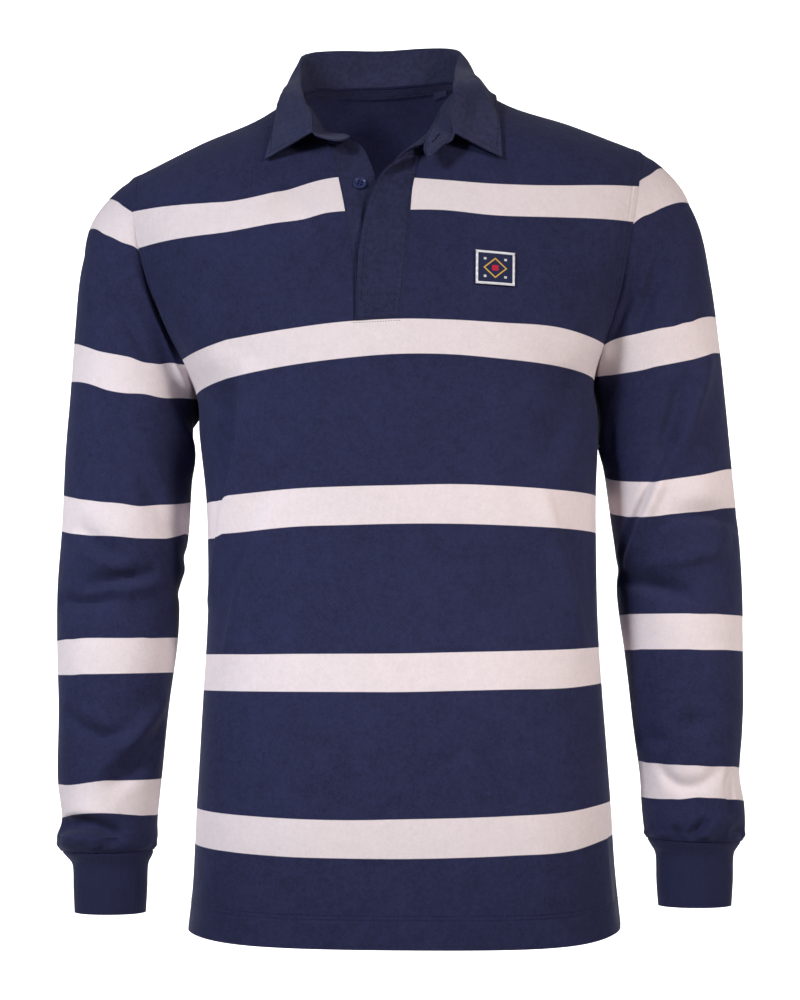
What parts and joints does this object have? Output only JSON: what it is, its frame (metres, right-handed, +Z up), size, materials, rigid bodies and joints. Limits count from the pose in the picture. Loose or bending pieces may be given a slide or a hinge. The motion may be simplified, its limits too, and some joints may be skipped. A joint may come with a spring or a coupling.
{
  "type": "polo shirt",
  "caption": "Long-sleeved navy polo shirt with pale pink stripes, open turn-down collar, placket and ribbed cuffs, filled out as worn.",
  "frame": {"origin": "middle of the base of the neck, where the wearer's neck and shoulders hold the shirt up", "axes": "+Z up the wearer's spine, +X to the wearer's left, the front of the shirt faces -Y"},
  "size_m": [0.5996, 0.2447, 0.7971],
  "materials": {
    "navy_jersey": "matt knit with pale pink stripes",
    "navy_rib": "matt rib knit",
    "navy_twill": "matt, topstitched",
    "badge_white": "woven patch",
    "label_tape": "soft satin",
    "navy_plastic": "satin"
  },
  "bodies": {
    "root": {"front": "navy_jersey", "back": "navy_jersey", "sleeve_right": "navy_jersey", "sleeve_left": "navy_jersey", "cuff_right": "navy_rib", "cuff_left": "navy_rib", "placket_under": "navy_twill", "placket_top": "navy_twill", "collar_stand": "navy_twill", "collar_leaf": "navy_twill", "neck_tape": "navy_twill", "size_label": "label_tape", "badge": "badge_white", "button_placket": "navy_plastic", "button_collar": "navy_plastic"}
  },
  "joints": []
}
